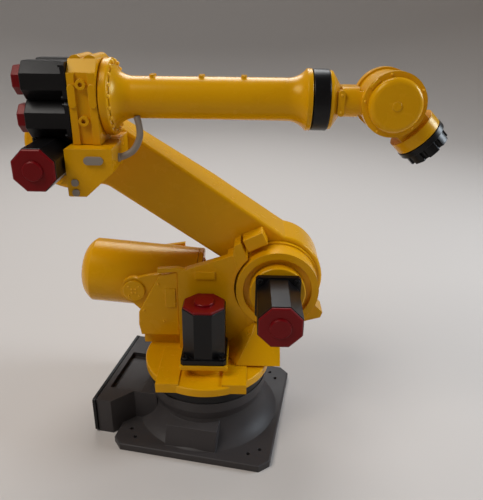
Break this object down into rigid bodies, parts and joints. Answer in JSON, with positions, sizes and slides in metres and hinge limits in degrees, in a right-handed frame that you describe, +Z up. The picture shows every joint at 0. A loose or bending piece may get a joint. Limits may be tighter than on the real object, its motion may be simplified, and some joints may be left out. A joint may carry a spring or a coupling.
{
  "type": "desk model of an industrial robot arm",
  "caption": "Scale model of a six-axis factory robot arm: turning base, leaning lower arm with spring balancer, straight forearm and bending wrist.",
  "frame": {"origin": "on the turning axis of the base, at the level of the table it stands on", "axes": "+Z up along the turning axis, +X forward along the stored arm, +Y away from the motor side"},
  "size_m": [0.1737, 0.0839, 0.1655],
  "materials": {
    "yellow_plastic": "satin moulded plastic",
    "dark_grey_plastic": "matt moulded plastic",
    "black_plastic": "satin moulded plastic",
    "red_plastic": "satin moulded plastic",
    "grey_rubber": "satin",
    "bright_steel": "polished"
  },
  "bodies": {
    "base": {"base_casting": "dark_grey_plastic", "connector_panel": "black_plastic", "bearing_ring": "black_plastic"},
    "turret": {"swing_table": "yellow_plastic", "turret_casting": "yellow_plastic", "shoulder_drum": "yellow_plastic", "wall_cover": "yellow_plastic", "near_bracket": "yellow_plastic", "near_trunnion_cap": "yellow_plastic", "far_bracket": "yellow_plastic", "far_trunnion_cap": "yellow_plastic", "turning_motor_plate": "yellow_plastic", "turning_motor": "black_plastic", "turning_motor_cap": "red_plastic", "shoulder_motor": "black_plastic", "shoulder_motor_cap": "red_plastic"},
    "lower_arm": {"lower_arm": "yellow_plastic", "stop_block": "yellow_plastic", "shoulder_cover": "yellow_plastic", "elbow_cover": "yellow_plastic", "rod_pin": "bright_steel"},
    "balancer": {"balancer_cylinder": "yellow_plastic", "balancer_ring": "yellow_plastic"},
    "rod": {"balancer_rod": "bright_steel"},
    "upper_arm": {"elbow_casing": "yellow_plastic", "forearm_flange": "yellow_plastic", "cable_box": "yellow_plastic", "box_plate": "grey_rubber", "box_pads": "grey_rubber", "elbow_motor": "black_plastic", "elbow_motor_cap": "red_plastic", "wrist_motor_one": "black_plastic", "wrist_motor_one_cap": "red_plastic", "wrist_motor_two": "black_plastic", "wrist_motor_two_cap": "red_plastic", "wrist_motor_three": "black_plastic", "wrist_motor_three_cap": "red_plastic", "forearm_tube": "yellow_plastic", "signal_cable": "grey_rubber"},
    "wrist": {"wrist_ring": "black_plastic", "wrist_yoke": "yellow_plastic", "near_wrist_cover": "yellow_plastic", "far_wrist_cover": "yellow_plastic"},
    "hand": {"hand_casting": "yellow_plastic"},
    "tool": {"tool_flange": "black_plastic"}
  },
  "joints": [
    {"name": "turn", "type": "hinge", "parent": "base", "child": "turret", "pos_m": [0, 0, 0.029], "axis": [0, 0, 1], "range_deg": [-190.56, 169.44]},
    {"name": "shoulder", "type": "hinge", "parent": "turret", "child": "lower_arm", "pos_m": [0.0317, 0.023, 0.0662], "axis": [0, 1, 0], "range_deg": [0, 128]},
    {"name": "elbow", "type": "hinge", "parent": "lower_arm", "child": "upper_arm", "pos_m": [-0.0588, 0.006, 0.1276], "axis": [0, -1, 0], "range_deg": [-25, 120]},
    {"name": "wrist_roll", "type": "hinge", "parent": "upper_arm", "child": "wrist", "pos_m": [0.0445, 0, 0.1497], "axis": [1, 0, 0], "range_deg": [-360, 360]},
    {"name": "wrist_bend", "type": "hinge", "parent": "wrist", "child": "hand", "pos_m": [0.0712, 0, 0.1497], "axis": [0, 1, 0], "range_deg": [-170, 80]},
    {"name": "tool_turn", "type": "hinge", "parent": "hand", "child": "tool", "pos_m": [0.08534, 0, 0.13556], "axis": [0.7071, 0, -0.7071], "range_deg": [-360, 360]},
    {"name": "balancer_tilt", "type": "hinge", "parent": "turret", "child": "balancer", "pos_m": [-0.034, 0.02325, 0.0623], "axis": [0, 1, 0], "range_deg": [-20, 1]},
    {"name": "rod_swing", "type": "hinge", "parent": "lower_arm", "child": "rod", "pos_m": [0.02552, 0.02325, 0.0571], "axis": [0, 1, 0], "range_deg": [-150, 1]}
  ],
  "couplings": [
    {"joint": "balancer_tilt", "follows": "shoulder", "ratio": -0.151},
    {"joint": "rod_swing", "follows": "shoulder", "ratio": -1.151}
  ]
}
